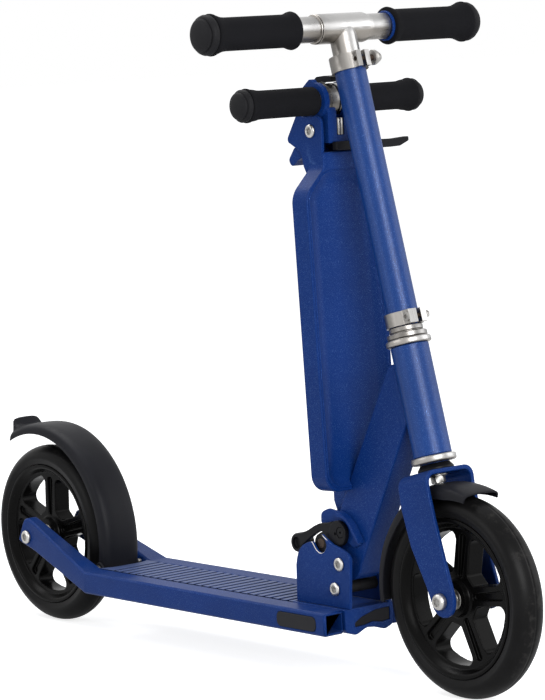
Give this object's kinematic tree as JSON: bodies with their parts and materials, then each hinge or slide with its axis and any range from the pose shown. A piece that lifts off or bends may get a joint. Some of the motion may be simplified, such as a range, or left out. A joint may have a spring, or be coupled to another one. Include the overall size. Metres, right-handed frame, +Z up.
{
  "type": "folding kick scooter",
  "caption": "Two-wheeled folding kick scooter with a telescoping T handlebar, a lower handlebar on an upright column, ribbed deck and rear fender brake.",
  "frame": {"origin": "on the ground, centre of the bounding box", "axes": "+X forward along the direction of travel, +Y to the rider's left, +Z up"},
  "size_m": [0.888, 0.3546, 0.6745],
  "materials": {
    "blue_metal": "blue powder coat with a fine satin speckle",
    "silver_metal": "polished aluminium",
    "steel": "zinc plated, slightly worn",
    "black_plastic": "moulded black plastic, satin",
    "black_metal": "black coated, satin",
    "black_rubber": "soft matt black",
    "grip_foam": "soft foam, matt dark grey",
    "tyre": "smooth black polyurethane"
  },
  "bodies": {
    "deck": {"rail_right": "blue_metal", "rail_left": "blue_metal", "deck_plate": "blue_metal", "front_block": "blue_metal", "block_insert": "black_plastic", "rail_plug_right": "black_plastic", "rail_plug_left": "black_plastic", "rail_pad_right": "black_rubber", "rail_pad_left": "black_rubber", "cheek_right": "blue_metal", "cheek_left": "blue_metal", "hinge_bolt": "steel", "stop_bolt": "steel", "stop_roller": "black_rubber", "rear_axle": "steel", "fender_pin": "steel"},
    "rear_wheel": {"rear_tyre": "tyre", "rear_rim": "black_plastic", "rear_bearing": "silver_metal"},
    "brake": {"rear_fender": "black_plastic"},
    "neck": {"neck_beam": "blue_metal", "head_tube": "blue_metal", "cup_lower": "silver_metal", "cup_upper": "silver_metal", "lever_guard": "blue_metal", "latch_screw": "steel", "post": "blue_metal", "bar_hinge_bolt": "steel"},
    "latch": {"latch_lever": "black_metal", "latch_pin": "steel"},
    "steering": {"fork": "blue_metal", "crown_race": "black_metal", "headset_nut": "silver_metal", "steering_tube": "blue_metal", "clamp_lower": "silver_metal", "clamp_lower_bolt": "steel", "clamp_upper": "silver_metal", "clamp_upper_bolt": "steel", "front_fender": "black_plastic", "crown_bolt": "steel", "front_axle": "steel"},
    "front_wheel": {"front_tyre": "tyre", "front_rim": "black_plastic", "front_bearing": "silver_metal"},
    "t_bar": {"tbar": "silver_metal", "tbar_ring": "blue_metal", "grip_right": "grip_foam", "grip_left": "grip_foam", "cap_right": "black_rubber", "cap_left": "black_rubber"},
    "lower_handlebar": {"bar_lug": "blue_metal", "lower_bar": "silver_metal", "bar_oring": "black_rubber", "lower_grip_right": "grip_foam", "lower_grip_left": "grip_foam", "lower_cap_right": "black_rubber", "lower_cap_left": "black_rubber", "bar_catch": "black_plastic", "draw_bolt": "steel"},
    "tension_lever": {"clamp_lever": "black_metal"}
  },
  "joints": [
    {"name": "rear_wheel_spin", "type": "hinge", "parent": "deck", "child": "rear_wheel", "pos_m": [-0.344, 0, 0.1], "axis": [0, 1, 0], "continuous": true},
    {"name": "brake_press", "type": "hinge", "parent": "deck", "child": "brake", "pos_m": [-0.232, 0, 0.073], "axis": [0, -1, 0], "range_deg": [0, 7], "stiffness_Nm_per_rad": 3, "springref_deg": -3.44},
    {"name": "neck_fold", "type": "hinge", "parent": "deck", "child": "neck", "pos_m": [0.188, 0, 0.12], "axis": [0, -1, 0], "range_deg": [0, 58]},
    {"name": "latch_open", "type": "hinge", "parent": "neck", "child": "latch", "pos_m": [0.186, -0.0196, 0.1515], "axis": [0, 1, 0], "range_deg": [0, 34]},
    {"name": "steering_turn", "type": "hinge", "parent": "neck", "child": "steering", "pos_m": [0.3066, 0, 0.2326], "axis": [-0.2494, 0, 0.9684], "range_deg": [-50, 50]},
    {"name": "front_wheel_spin", "type": "hinge", "parent": "steering", "child": "front_wheel", "pos_m": [0.344, 0, 0.1], "axis": [0, 1, 0], "continuous": true},
    {"name": "t_bar_height", "type": "slide", "parent": "steering", "child": "t_bar", "axis": [-0.2494, 0, 0.9684], "range_m": [0, 0.2]},
    {"name": "lower_bar_tilt", "type": "hinge", "parent": "neck", "child": "lower_handlebar", "pos_m": [0.1707, 0, 0.554], "axis": [0, -1, 0], "range_deg": [0, 18]},
    {"name": "tension_lever_swing", "type": "hinge", "parent": "lower_handlebar", "child": "tension_lever", "pos_m": [0.195, 0, 0.538], "axis": [-1, 0, 0], "range_deg": [0, 95]}
  ],
  "couplings": [
    {"joint": "latch_open", "follows": "neck_fold", "ratio": 0.55}
  ]
}
